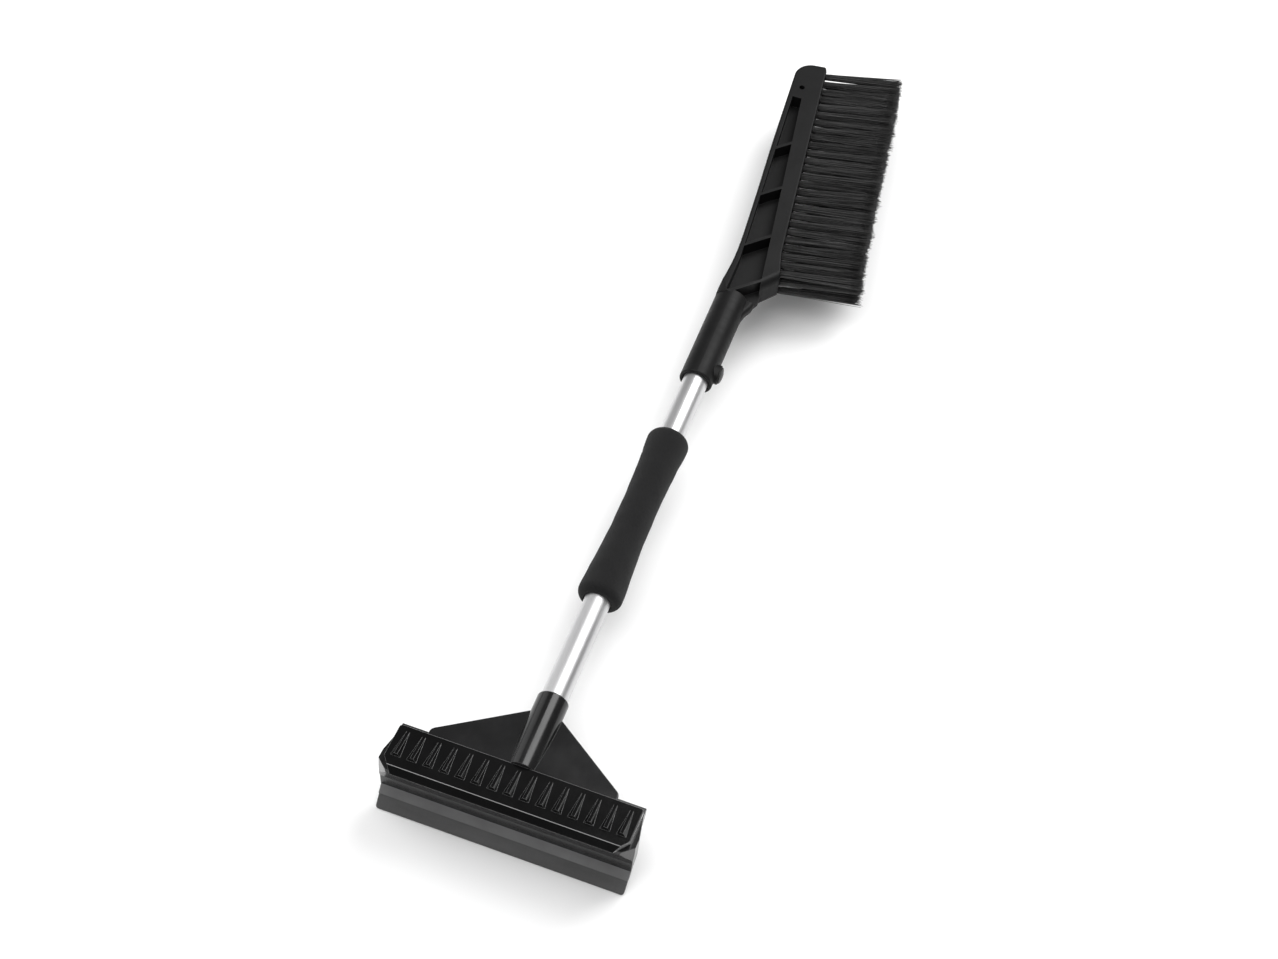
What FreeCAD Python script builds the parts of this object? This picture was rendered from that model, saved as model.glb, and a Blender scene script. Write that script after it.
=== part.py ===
# Snow brush with an ice blade and a squeegee on one aluminium handle.
# Millimetres. The handle runs along Y, brush at +Y. Bristles and blade width run along X. +Z is the front.
import FreeCAD, Part
import math
import os

V = FreeCAD.Vector
X_AXIS = V(1, 0, 0)
Y_AXIS = V(0, 1, 0)
Z_AXIS = V(0, 0, 1)

# handle tube
TUBE_R = 11.0
TUBE_WALL = 1.2
TUBE_TOP_Y = 200.0
TUBE_FOOT_Y = -292.0
PLUG_LENGTH = 14.0
PLUG_FLANGE = 2.0

# foam grip
GRIP_TOP_Y = 52.5
GRIP_FOOT_Y = -127.0
GRIP_TOP_R = 18.3
GRIP_WAIST_R = 15.4
GRIP_FOOT_R = 19.0
GRIP_END_R = 12.4
GRIP_ROUND = 7.5

# brush socket
SOCKET_R = 14.7
SOCKET_MOUTH_Y = 118.0
SOCKET_TOP_Y = 217.5
SWIVEL_CLEARANCE = 0.05
BORE_R = TUBE_R + SWIVEL_CLEARANCE
BORE_TOP_Y = TUBE_TOP_Y + PLUG_FLANGE + 1.0

# release button and snap pin
BUTTON_Y = 133.0
BUTTON_COLLAR_R = 8.6
BUTTON_COLLAR_X = 17.4
BUTTON_R = 7.2
BUTTON_GAP = 0.1
BUTTON_FLANGE_R = 7.8
BUTTON_FLANGE_T = 1.2
BUTTON_LIP_X = 15.6
BUTTON_CROWN_X = 20.2
BUTTON_STEM_R = 2.4
BUTTON_STEM_X = 13.6
PIN_R = 3.0
PIN_HOLE_GAP = 0.05
PIN_TIP_X = 13.5
PIN_HEAD_R = 4.0
PIN_HEAD_X = 8.6
PIN_HEAD_T = 1.2
TRACK_R = 13.85
TRACK_HALF_WIDTH = 3.3
SPRING_STRIP = 0.6
SPRING_WIDTH = 6.0
SPRING_REACH = 34.0

# brush frame
FRAME_HALF_DEPTH = 14.7
SPINE_BEND_Y = 255.0
SPINE_EDGE = (V(-14.3, 214.9, 0), V(-12.2, 235.0, 0), V(-11.4, 255.0, 0), V(-13.7, 297.0, 0), V(-17.8, 345.0, 0),
              V(-22.5, 395.0, 0), V(-26.7, 446.0, 0), V(-29.8, 485.0, 0), V(-31.7, 509.3, 0))
TIP_ROUND = 17.0
TIP_CORNER = V(-5.6, 513.6, 0)
BAR_TOP = V(-3.4, 508.5, 0)
BAR_KNEE = V(26.4, 277.0, 0)
BAR_KNEE_ROUND = 90.0
BAR_FLARE = V(33.9, 247.5, 0)
BAR_HEEL = V(20.8, 230.5, 0)
HEEL_ROUND = 7.5
BAR_INNER_TOP = V(-14.6, 464.5, 0)
BAR_INNER_FOOT = V(23.0, 216.0, 0)
SPINE_INNER_TOP_X = -23.6
SPINE_INNER_FOOT_X = -6.2
FLOOR_HALF = 1.6
RIB_THICK = 2.4
RIB_START_Y = (395.0, 335.0, 271.5, 212.0)
RIB_ANGLE = 45.0
EDGE_ROUND = 1.6
RIB_LAST_RIGHT = V(20.0, 236.2, 0)
RIB_LAST_LEFT = V(-1.3, 214.9, 0)
GUSSET_HALF_DEPTH = 5.0
GUSSET_ROUND = 3.6
GUSSET_EDGE = (V(14.2, 190.0, 0), V(14.9, 197.0, 0), V(16.3, 204.5, 0), V(19.4, 212.0, 0), V(20.4, 217.5, 0))
WEB_EDGE = (V(20.4, 216.4, 0), V(22.6, 221.5, 0), V(22.2, 229.0, 0), V(20.6, 237.5, 0))
NECK_CONE_START_Y = 212.5
NECK_CONE_END_Y = 243.0
NECK_CONE_END_R = 22.5
HANG_HOLE = V(-18.6, 478.5, 0)
HANG_HOLE_R = 2.8

# bristles
TUFTS = (26, 25, 26, 25, 26)
ROWS = len(TUFTS)
ROW_SPACING = 5.4
TUFT_R = 2.9
TUFT_TIP_R = 3.4
TUFT_HOLE_R = 3.0
TUFT_HOLE_DEPTH = 9.5
TUFT_FIRST_Y = 503.9
TUFT_LAST_Y = 254.4
TUFT_LENGTH = 71.8
TUFT_FOOT_GAIN = 1.7
TUFT_END_CUT = 1.0
TUFT_TOP_LEAN = 14.8
TUFT_FOOT_LEAN = 12.9
STAPLE_R = 0.4
STAPLE_HALF = 2.5

# scraper socket and plate
FOOT_R = 13.1
FOOT_TOP_Y = -227.0
FOOT_END_Y = -300.0
PLATE_TOP_Y = -242.0
PLATE_FOOT_Y = -297.5
PLATE_HALF_WIDTH = 78.0
PLATE_CORNER_R = 6.5
PLATE_SIDE = 6.8
PLATE_TOP_Z = 0.5
PLATE_FOOT_Z = 9.0
PLATE_THICK = 7.0
RIVET_Y = -262.0
RIVET_R = 2.4
RIVET_HEAD_R = 4.2
RIVET_HEAD_T = 1.4

# ice blade, as (Y, Z) corners of its section
BLADE_HALF_WIDTH = 100.5
BLADE_CREST = V(0, -296.6, 9.4)
BLADE_BROW = V(0, -337.6, 17.6)
BLADE_EDGE = V(0, -342.6, 12.2)
BLADE_THICK = 7.5
BLADE_CORNER = (V(95.2, -337.6, 17.6), V(100.7, -329.6, 15.9), V(90.6, -342.6, 12.2))
BLADE_TOP_CORNER_R = 2.5
RIDGE_COUNT = 15
RIDGE_PITCH = 13.14
RIDGE_START = 5.0
RIDGE_LENGTH = 27.0
RIDGE_CREST_HALF = 1.3
RIDGE_FOOT_HALF = 4.0
RIDGE_HEIGHT = 3.0
RIDGE_SINK = 0.4

# squeegee housing, strip and lip
HOUSING_TOP_HALF = 100.9
HOUSING_WIDE_HALF = 105.0
HOUSING_NOSE_HALF = 98.5
HOUSING_FOOT_HALF = 103.8
HOUSING_FLOOR_Z = -33.0
STRIP_TOP = V(0, -328.8, -33.0)
STRIP_FOOT = V(0, -334.2, -39.5)
LIP_FOOT = V(0, -342.3, -50.1)
STRIP_THICK = 6.0
STRIP_HALF_WIDTH = 103.6
LIP_THICK = 3.2
LIP_HALF_WIDTH = 103.4
LIP_CORNER_R = 2.5
LIP_GRIP = 7.0
SCREW_X = (-78.0, -26.0, 26.0, 78.0)
SCREW_R = 1.8
SCREW_HEAD_R = 3.6
SCREW_HEAD_T = 2.0
SCREW_LENGTH = 14.0


def disc_rod(radius, start, direction, length):
    return Part.makeCylinder(radius, length, start, direction)


def polygon_face(points):
    return Part.Face(Part.makePolygon(list(points) + [points[0]]))


def plate_between(points, z_low, z_high):
    flat = [V(p.x, p.y, z_low) for p in points]
    return polygon_face(flat).extrude(V(0, 0, z_high - z_low))


def section_across(points, half_width):
    flat = [V(-half_width, p.y, p.z) for p in points]
    return polygon_face(flat).extrude(V(2 * half_width, 0, 0))


def mix(start, end, part):
    return start + (end - start) * part


def lean(angle):
    return V(math.cos(math.radians(angle)), math.sin(math.radians(angle)), 0)


def handle_tube():
    length = TUBE_TOP_Y - TUBE_FOOT_Y
    start = V(0, TUBE_FOOT_Y, 0)
    tube = disc_rod(TUBE_R, start, Y_AXIS, length)
    tube = tube.cut(disc_rod(TUBE_R - TUBE_WALL, start, Y_AXIS, length))
    pin_hole = disc_rod(PIN_R + PIN_HOLE_GAP, V(0, BUTTON_Y, 0), X_AXIS, TUBE_R + 1)
    rivet_hole = disc_rod(RIVET_R, V(0, RIVET_Y, -TUBE_R - 1), Z_AXIS, 2 * TUBE_R + 2)
    return tube.cut(pin_hole).cut(rivet_hole)


def tube_plug(end_y, side):
    inside = disc_rod(TUBE_R - TUBE_WALL, V(0, end_y, 0), Y_AXIS * -side, PLUG_LENGTH)
    hollow = disc_rod(TUBE_R - 3 * TUBE_WALL, V(0, end_y, 0) - Y_AXIS * side * PLUG_FLANGE, Y_AXIS * -side,
                      PLUG_LENGTH)
    flange = disc_rod(TUBE_R - 0.2, V(0, end_y, 0), Y_AXIS * side, PLUG_FLANGE)
    return inside.fuse(flange).cut(hollow).removeSplitter()


def foam_grip():
    span = GRIP_TOP_Y - GRIP_FOOT_Y
    swell = GRIP_TOP_R - GRIP_WAIST_R
    flare = GRIP_FOOT_R - GRIP_WAIST_R
    top_side = V(GRIP_TOP_R - 0.3, GRIP_TOP_Y - GRIP_ROUND, 0)
    foot_side = V(GRIP_FOOT_R - 0.4, GRIP_FOOT_Y + GRIP_ROUND, 0)
    stations = [
        top_side,
        V(GRIP_TOP_R, GRIP_TOP_Y - 0.07 * span, 0),
        V(GRIP_WAIST_R + 0.42 * swell, GRIP_TOP_Y - 0.17 * span, 0),
        V(GRIP_WAIST_R + 0.15 * swell, GRIP_TOP_Y - 0.30 * span, 0),
        V(GRIP_WAIST_R, GRIP_TOP_Y - 0.47 * span, 0),
        V(GRIP_WAIST_R + 0.12 * flare, GRIP_TOP_Y - 0.63 * span, 0),
        V(GRIP_WAIST_R + 0.45 * flare, GRIP_TOP_Y - 0.76 * span, 0),
        V(GRIP_WAIST_R + 0.9 * flare, GRIP_TOP_Y - 0.88 * span, 0),
        foot_side,
    ]
    side = Part.BSplineCurve()
    side.interpolate(stations)
    top_in = V(GRIP_END_R, GRIP_TOP_Y, 0)
    foot_in = V(GRIP_END_R, GRIP_FOOT_Y, 0)
    top_bend = V(top_side.x - 1.7, GRIP_TOP_Y - 0.3 * GRIP_ROUND, 0)
    foot_bend = V(foot_side.x - 1.9, GRIP_FOOT_Y + 0.3 * GRIP_ROUND, 0)
    bore_top = V(TUBE_R, GRIP_TOP_Y - 1.2, 0)
    bore_foot = V(TUBE_R, GRIP_FOOT_Y + 1.2, 0)
    edges = [
        Part.makeLine(bore_top, top_in),
        Part.Arc(top_in, top_bend, top_side).toShape(),
        side.toShape(),
        Part.Arc(foot_side, foot_bend, foot_in).toShape(),
        Part.makeLine(foot_in, bore_foot),
        Part.makeLine(bore_foot, bore_top),
    ]
    return Part.Face(Part.Wire(edges)).revolve(V(0, 0, 0), Y_AXIS, 360)


def spine_inner_x(y):
    share = max(0.0, (y - SPINE_BEND_Y) / (BAR_INNER_TOP.y - SPINE_BEND_Y))
    return SPINE_INNER_FOOT_X + share * (SPINE_INNER_TOP_X - SPINE_INNER_FOOT_X)


def upright_edges(shape, corner):
    return [e for e in shape.Edges if e.BoundBox.ZLength > FRAME_HALF_DEPTH
            and e.BoundBox.Center.distanceToPoint(corner) < 0.2]


def neck_shoulders():
    top_y = NECK_CONE_END_Y
    block = Part.makeBox(40, top_y - NECK_CONE_START_Y, 80, V(-38, NECK_CONE_START_Y, -40))
    cone = Part.makeCone(SOCKET_R, NECK_CONE_END_R, top_y - NECK_CONE_START_Y, V(0, NECK_CONE_START_Y, 0), Y_AXIS)
    return block.cut(cone)


def frame_blank():
    spine = Part.BSplineCurve()
    spine.interpolate(list(SPINE_EDGE))
    shoulder = SPINE_EDGE[-1]
    corners = [shoulder, TIP_CORNER, BAR_TOP, BAR_KNEE, BAR_FLARE, BAR_HEEL, RIB_LAST_RIGHT, RIB_LAST_LEFT,
               SPINE_EDGE[0]]
    edges = [spine.toShape()] + [Part.makeLine(a, b) for a, b in zip(corners, corners[1:])]
    flat = Part.Face(Part.Wire(edges))
    flat.translate(V(0, 0, -FRAME_HALF_DEPTH))
    blank = flat.extrude(V(0, 0, 2 * FRAME_HALF_DEPTH))
    rounded = ((shoulder, TIP_ROUND), (TIP_CORNER, 2.0), (BAR_TOP, 2.0), (BAR_KNEE, BAR_KNEE_ROUND))
    for corner, radius in rounded:
        blank = blank.makeFillet(radius, upright_edges(blank, corner))
    heel_middle = mix(BAR_FLARE, BAR_HEEL, 0.5)
    heel = [e for e in blank.Edges if e.BoundBox.ZLength < 0.01
            and V(e.BoundBox.Center.x, e.BoundBox.Center.y, 0).distanceToPoint(heel_middle) < 1.5]
    blank = blank.makeFillet(HEEL_ROUND, heel)
    rim = [e for e in blank.Edges if e.BoundBox.ZLength < 0.01 and abs(e.BoundBox.ZMax) > FRAME_HALF_DEPTH - 0.1
           and e.BoundBox.Center.y > BAR_FLARE.y + 1]
    blank = blank.makeFillet(EDGE_ROUND, rim)
    return blank.cut(neck_shoulders())


def pocket_tool(z_low, z_high):
    foot_y = BAR_INNER_FOOT.y
    outline = [V(spine_inner_x(BAR_INNER_TOP.y), BAR_INNER_TOP.y, 0), BAR_INNER_TOP, BAR_INNER_FOOT,
               V(SPINE_INNER_FOOT_X, foot_y, 0), V(SPINE_INNER_FOOT_X, SPINE_BEND_Y, 0)]
    region = plate_between(outline, z_low, z_high)
    direction = lean(RIB_ANGLE)
    across = V(-direction.y, direction.x, 0) * (RIB_THICK / 2)
    for start_y in RIB_START_Y:
        root = V(spine_inner_x(start_y) - 6, start_y - 6 * math.tan(math.radians(RIB_ANGLE)), 0)
        end = root + direction * 60
        rib = plate_between([root - across, end - across, end + across, root + across], z_low, z_high)
        region = region.cut(rib)
    return region


def bar_edge_x(y):
    if y > BAR_KNEE.y:
        return mix(BAR_KNEE, BAR_TOP, (y - BAR_KNEE.y) / (BAR_TOP.y - BAR_KNEE.y)).x
    return mix(BAR_FLARE, BAR_KNEE, (y - BAR_FLARE.y) / (BAR_KNEE.y - BAR_FLARE.y)).x


def tuft_frame(row, index):
    step = index + (0.5 if row % 2 else 0.0)
    part = step / (max(TUFTS) - 1)
    y = TUFT_FIRST_Y + part * (TUFT_LAST_Y - TUFT_FIRST_Y)
    root = V(bar_edge_x(y), y, (row - (ROWS - 1) / 2) * ROW_SPACING)
    angle = TUFT_TOP_LEAN + part * (TUFT_FOOT_LEAN - TUFT_TOP_LEAN)
    length = TUFT_LENGTH + TUFT_FOOT_GAIN * part - TUFT_END_CUT * math.exp(-step)
    return root, lean(angle), length


def all_tufts():
    return [tuft_frame(row, index) for row, count in enumerate(TUFTS) for index in range(count)]


def tuft_hole_tool():
    holes = []
    for root, direction, length in all_tufts():
        holes.append(disc_rod(TUFT_HOLE_R, root - direction * TUFT_HOLE_DEPTH, direction, TUFT_HOLE_DEPTH + 8))
    return Part.makeCompound(holes)


def bristle_row(row):
    tufts = []
    seat = TUFT_HOLE_DEPTH - 2 * STAPLE_R - 0.1
    for index in range(TUFTS[row]):
        root, direction, length = tuft_frame(row, index)
        shank = disc_rod(TUFT_R, root - direction * seat, direction, seat)
        spray = Part.makeCone(TUFT_R, TUFT_TIP_R, length, root, direction)
        tufts.append(shank.fuse(spray).removeSplitter())
    return Part.makeCompound(tufts)


def tuft_staples():
    staples = []
    for root, direction, length in all_tufts():
        seat = root - direction * (TUFT_HOLE_DEPTH - STAPLE_R - 0.05)
        staples.append(disc_rod(STAPLE_R, seat - Z_AXIS * STAPLE_HALF, Z_AXIS, 2 * STAPLE_HALF))
    return Part.makeCompound(staples)


def pin_track():
    ring = disc_rod(TRACK_R, V(0, BUTTON_Y - TRACK_HALF_WIDTH, 0), Y_AXIS, 2 * TRACK_HALF_WIDTH)
    half = Part.makeBox(TRACK_R + 2, 4 * TRACK_HALF_WIDTH, 4 * TRACK_R,
                        V(-TRACK_HALF_WIDTH, BUTTON_Y - 2 * TRACK_HALF_WIDTH, -2 * TRACK_R))
    return ring.common(half)


def socket_gusset():
    side = Part.BSplineCurve()
    side.interpolate(list(GUSSET_EDGE))
    corners = [GUSSET_EDGE[-1], V(8.0, GUSSET_EDGE[-1].y, 0), V(8.0, GUSSET_EDGE[0].y, 0), GUSSET_EDGE[0]]
    edges = [side.toShape()] + [Part.makeLine(a, b) for a, b in zip(corners, corners[1:])]
    flat = Part.Face(Part.Wire(edges))
    flat.translate(V(0, 0, -GUSSET_HALF_DEPTH))
    gusset = flat.extrude(V(0, 0, 2 * GUSSET_HALF_DEPTH))
    side_edges = [e for e in gusset.Edges if e.BoundBox.ZLength < 0.01 and e.BoundBox.XMax > SOCKET_R
                  and e.BoundBox.YLength > 20 and e.BoundBox.XMin > 10]
    return gusset.makeFillet(GUSSET_ROUND, side_edges)


def neck_web():
    outline = list(WEB_EDGE) + [RIB_LAST_LEFT + V(0, 3, 0), V(RIB_LAST_LEFT.x, 210.0, 0), V(10.0, 210.0, 0)]
    return plate_between(outline, -FLOOR_HALF, FLOOR_HALF)


def socket_outer():
    barrel = disc_rod(SOCKET_R, V(0, SOCKET_MOUTH_Y, 0), Y_AXIS, SOCKET_TOP_Y - SOCKET_MOUTH_Y)
    mouth = [e for e in barrel.Edges if abs(e.BoundBox.YMax - SOCKET_MOUTH_Y) < 0.01]
    barrel = barrel.makeFillet(1.3, mouth)
    collar = disc_rod(BUTTON_COLLAR_R, V(6, BUTTON_Y, 0), X_AXIS, BUTTON_COLLAR_X - 6)
    rim = [e for e in collar.Edges if abs(e.BoundBox.XMin - BUTTON_COLLAR_X) < 0.01]
    return barrel.fuse(collar.makeFillet(0.7, rim))


def socket_inner():
    bore = disc_rod(BORE_R, V(0, SOCKET_MOUTH_Y - 1, 0), Y_AXIS, BORE_TOP_Y - SOCKET_MOUTH_Y + 1)
    lead_in = Part.makeCone(BORE_R + 1.3, BORE_R, 1.3, V(0, SOCKET_MOUTH_Y, 0), Y_AXIS)
    button_way = disc_rod(BUTTON_R + BUTTON_GAP, V(0, BUTTON_Y, 0), X_AXIS, BUTTON_COLLAR_X + 1)
    flange_way = disc_rod(BUTTON_FLANGE_R + BUTTON_GAP, V(0, BUTTON_Y, 0), X_AXIS, BUTTON_LIP_X)
    return [bore, lead_in, button_way, flange_way, pin_track()]


def brush_body():
    frame = frame_blank()
    frame = frame.cut(pocket_tool(FLOOR_HALF, FRAME_HALF_DEPTH + 2))
    frame = frame.cut(pocket_tool(-FRAME_HALF_DEPTH - 2, -FLOOR_HALF))
    body = frame.fuse([socket_outer(), socket_gusset(), neck_web()]).removeSplitter()
    for tool in socket_inner():
        body = body.cut(tool)
    hang_hole = disc_rod(HANG_HOLE_R, V(HANG_HOLE.x, HANG_HOLE.y, -FRAME_HALF_DEPTH - 1), Z_AXIS,
                         2 * FRAME_HALF_DEPTH + 2)
    return body.cut(hang_hole).cut(tuft_hole_tool())


def release_button():
    barrel_x = BUTTON_CROWN_X - 1.6
    barrel = disc_rod(BUTTON_R, V(BUTTON_LIP_X - 0.1, BUTTON_Y, 0), X_AXIS, barrel_x - BUTTON_LIP_X + 0.1)
    sphere_r = (BUTTON_R ** 2 + 1.6 ** 2) / (2 * 1.6)
    ball = Part.makeSphere(sphere_r, V(BUTTON_CROWN_X - sphere_r, BUTTON_Y, 0))
    crown = ball.common(disc_rod(BUTTON_R, V(barrel_x, BUTTON_Y, 0), X_AXIS, 3))
    flange = disc_rod(BUTTON_FLANGE_R, V(BUTTON_LIP_X - 0.1, BUTTON_Y, 0), X_AXIS * -1, BUTTON_FLANGE_T)
    stem_top = BUTTON_LIP_X - 0.1 - BUTTON_FLANGE_T
    stem = disc_rod(BUTTON_STEM_R, V(BUTTON_STEM_X, BUTTON_Y, 0), X_AXIS, stem_top - BUTTON_STEM_X + 0.1)
    return barrel.fuse([crown, flange, stem]).removeSplitter()


def snap_pin():
    shaft = disc_rod(PIN_R, V(PIN_HEAD_X - 0.1, BUTTON_Y, 0), X_AXIS, PIN_TIP_X - PIN_HEAD_X + 0.1)
    tip = [e for e in shaft.Edges if abs(e.BoundBox.XMin - PIN_TIP_X) < 0.01]
    shaft = shaft.makeFillet(0.8, tip).common(disc_rod(PIN_TIP_X, V(0, BUTTON_Y - 5, 0), Y_AXIS, 10))
    head = disc_rod(PIN_HEAD_R, V(PIN_HEAD_X, BUTTON_Y, 0), X_AXIS * -1, PIN_HEAD_T)
    return shaft.fuse(head).removeSplitter()


def snap_spring():
    top_x = PIN_HEAD_X - PIN_HEAD_T - 0.05
    wall_x = -TUBE_R + TUBE_WALL + 0.75
    bend_y = BUTTON_Y - SPRING_REACH
    outer = [V(top_x, BUTTON_Y + 5, 0), V(top_x, BUTTON_Y - 5, 0), V(3.0, bend_y, 0), V(-3.0, bend_y - 3, 0),
             V(wall_x, bend_y + 6, 0), V(wall_x, BUTTON_Y + 5, 0)]
    inner = [V(top_x - SPRING_STRIP, BUTTON_Y + 5, 0), V(top_x - SPRING_STRIP, BUTTON_Y - 4.8, 0),
             V(2.3, bend_y + 0.7, 0), V(-2.7, bend_y - 2.2, 0), V(wall_x + SPRING_STRIP, bend_y + 6.2, 0),
             V(wall_x + SPRING_STRIP, BUTTON_Y + 5, 0)]
    return plate_between(outer + inner[::-1], -SPRING_WIDTH / 2, SPRING_WIDTH / 2)


def plate_surface_z(y):
    part = (PLATE_TOP_Y - y) / (PLATE_TOP_Y - PLATE_FOOT_Y)
    return PLATE_TOP_Z + part * (PLATE_FOOT_Z - PLATE_TOP_Z)


def foot_plate():
    side_y = PLATE_FOOT_Y + PLATE_SIDE
    outline = [V(-FOOT_R + 2, PLATE_TOP_Y + 1.5, 0), V(-PLATE_HALF_WIDTH, side_y, 0),
               V(-PLATE_HALF_WIDTH, PLATE_FOOT_Y, 0), V(PLATE_HALF_WIDTH, PLATE_FOOT_Y, 0),
               V(PLATE_HALF_WIDTH, side_y, 0), V(FOOT_R - 2, PLATE_TOP_Y + 1.5, 0)]
    blank = plate_between(outline, -40, 40)
    corners = [e for e in blank.Edges if e.BoundBox.ZLength > 70 and abs(e.BoundBox.YMin - side_y) < 0.1]
    blank = blank.makeFillet(PLATE_CORNER_R, corners)
    top_z = plate_surface_z(PLATE_TOP_Y + 2)
    foot_z = plate_surface_z(PLATE_FOOT_Y)
    slab = section_across([V(0, PLATE_TOP_Y + 2, top_z), V(0, PLATE_FOOT_Y, foot_z),
                           V(0, PLATE_FOOT_Y, foot_z - PLATE_THICK), V(0, PLATE_TOP_Y + 2, top_z - PLATE_THICK)],
                          PLATE_HALF_WIDTH + 1)
    plate = blank.common(slab)
    rim = []
    for edge in plate.Edges:
        middle = edge.valueAt((edge.FirstParameter + edge.LastParameter) / 2)
        on_front = abs(middle.z - plate_surface_z(middle.y)) < 0.01
        if on_front and middle.y > PLATE_FOOT_Y + 0.1 and middle.y < PLATE_TOP_Y + 1.4:
            rim.append(edge)
    return plate.makeFillet(1.0, rim)


def blade_back(point):
    slope = BLADE_BROW - BLADE_CREST
    normal = V(0, -slope.z, slope.y)
    normal.normalize()
    return point + normal * BLADE_THICK


def housing_solid():
    top = blade_back(BLADE_CREST)
    foot = blade_back(BLADE_BROW)
    section = [top, foot + V(0, 0.6, 0), V(0, foot.y - 0.2, foot.z - 3), V(0, -336.0, -1.0), V(0, -331.5, -10.0),
               V(0, -329.2, -20.0), STRIP_TOP, V(0, STRIP_TOP.y + 7.5, STRIP_TOP.z - 1.0),
               V(0, -311.0, -22.0), V(0, -297.0, -12.0), V(0, -291.5, -6.0), V(0, -291.5, 1.9)]
    block = section_across(section, HOUSING_WIDE_HALF + 1)
    plan = []
    for side in (-1, 1):
        row = [V(side * HOUSING_TOP_HALF, -285, 0), V(side * HOUSING_TOP_HALF, -299, 0),
               V(side * HOUSING_WIDE_HALF, -321, 0), V(side * HOUSING_WIDE_HALF, -330, 0),
               V(side * HOUSING_NOSE_HALF, -336.5, 0), V(side * (HOUSING_NOSE_HALF - 6), -342, 0)]
        plan += row if side < 0 else row[::-1]
    block = block.common(plate_between(plan, -60, 30))
    taper = [V(-HOUSING_WIDE_HALF - 2, 0, 30), V(-HOUSING_WIDE_HALF - 2, 0, 0), V(-HOUSING_WIDE_HALF, 0, -2),
             V(-HOUSING_FOOT_HALF, 0, HOUSING_FLOOR_Z), V(-HOUSING_FOOT_HALF, 0, -60), V(HOUSING_FOOT_HALF, 0, -60),
             V(HOUSING_FOOT_HALF, 0, HOUSING_FLOOR_Z), V(HOUSING_WIDE_HALF, 0, -2), V(HOUSING_WIDE_HALF + 2, 0, 0),
             V(HOUSING_WIDE_HALF + 2, 0, 30)]
    front = polygon_face([V(p.x, -360, p.z) for p in taper]).extrude(V(0, 100, 0))
    return block.common(front)


def strip_frame():
    down = STRIP_FOOT - STRIP_TOP
    down.normalize()
    back = V(0, -down.z, down.y)
    if back.y < 0:
        back = back * -1
    return down, back


def strip_slot():
    down, back = strip_frame()
    start = STRIP_TOP - down * 4
    section = [start + back * 0.8, STRIP_TOP + down * 12 + back * 0.8, STRIP_TOP + down * 12 + back * STRIP_THICK,
               start + back * STRIP_THICK]
    return section_across(section, HOUSING_WIDE_HALF + 2)


def screw_frame():
    slope = BLADE_BROW - BLADE_CREST
    normal = V(0, -slope.z, slope.y)
    normal.normalize()
    seat = mix(BLADE_CREST, BLADE_BROW, 0.42) + normal * (BLADE_THICK + 7.5)
    return seat, normal * -1


def screw_ways(clear):
    seat, up = screw_frame()
    ways = []
    for x in SCREW_X:
        start = V(x, seat.y, seat.z)
        ways.append(disc_rod(SCREW_R + clear, start, up, SCREW_LENGTH))
        ways.append(disc_rod(SCREW_HEAD_R + clear, start, up * -1, 30))
    return Part.makeCompound(ways)


def scraper_head():
    foot = disc_rod(FOOT_R, V(0, FOOT_END_Y, 0), Y_AXIS, FOOT_TOP_Y - FOOT_END_Y)
    rim = [e for e in foot.Edges if abs(e.BoundBox.YMin - FOOT_TOP_Y) < 0.01]
    foot = foot.makeFillet(1.5, rim)
    body = foot.fuse([foot_plate(), housing_solid()]).cut(blade_envelope())
    for tool in (disc_rod(TUBE_R, V(0, TUBE_FOOT_Y - PLUG_FLANGE - 0.2, 0), Y_AXIS, 90),
                 disc_rod(RIVET_R, V(0, RIVET_Y, -FOOT_R - 1), Z_AXIS, FOOT_R + 1),
                 disc_rod(RIVET_HEAD_R, V(0, RIVET_Y, -FOOT_R - RIVET_HEAD_T), Z_AXIS, RIVET_HEAD_T + 0.4),
                 disc_rod(RIVET_R, V(0, RIVET_Y, 0), Z_AXIS, FOOT_R - 1.5)):
        body = body.cut(tool)
    return body.cut(strip_slot()).cut(screw_ways(0.1)).removeSplitter()


def blade_envelope():
    top = blade_back(BLADE_CREST)
    return section_across([BLADE_CREST + V(0, 0, 8), BLADE_CREST, top, blade_back(BLADE_BROW), BLADE_BROW,
                           BLADE_BROW + V(0, 0, 20)], HOUSING_WIDE_HALF + 1)


def blade_face_frame():
    slope = BLADE_BROW - BLADE_CREST
    slope.normalize()
    return slope, V(0, -slope.z, slope.y) * -1


def ridge(center_x):
    slope, normal = blade_face_frame()
    apex = BLADE_CREST + slope * RIDGE_START + V(center_x, 0, 0)
    base = apex + slope * RIDGE_LENGTH
    crest_half = X_AXIS * RIDGE_CREST_HALF
    foot_half = X_AXIS * RIDGE_FOOT_HALF
    sink = normal * -RIDGE_SINK
    apex_left, apex_right = apex - crest_half, apex + crest_half
    foot_left, foot_right = base - foot_half, base + foot_half
    crest_left = base - crest_half + normal * RIDGE_HEIGHT
    crest_right = base + crest_half + normal * RIDGE_HEIGHT
    faces = [
        polygon_face([apex_left + sink, apex_right + sink, foot_right + sink, foot_left + sink]),
        polygon_face([foot_left + sink, foot_right + sink, foot_right, crest_right, crest_left, foot_left]),
        polygon_face([apex_left + sink, apex_right + sink, apex_right, apex_left]),
        polygon_face([apex_right + sink, foot_right + sink, foot_right, apex_right]),
        polygon_face([apex_left + sink, foot_left + sink, foot_left, apex_left]),
        polygon_face([apex_right, foot_right, crest_right]),
        polygon_face([apex_left, foot_left, crest_left]),
        polygon_face([apex_left, apex_right, crest_right, crest_left]),
    ]
    return Part.makeSolid(Part.makeShell(faces))


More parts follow.
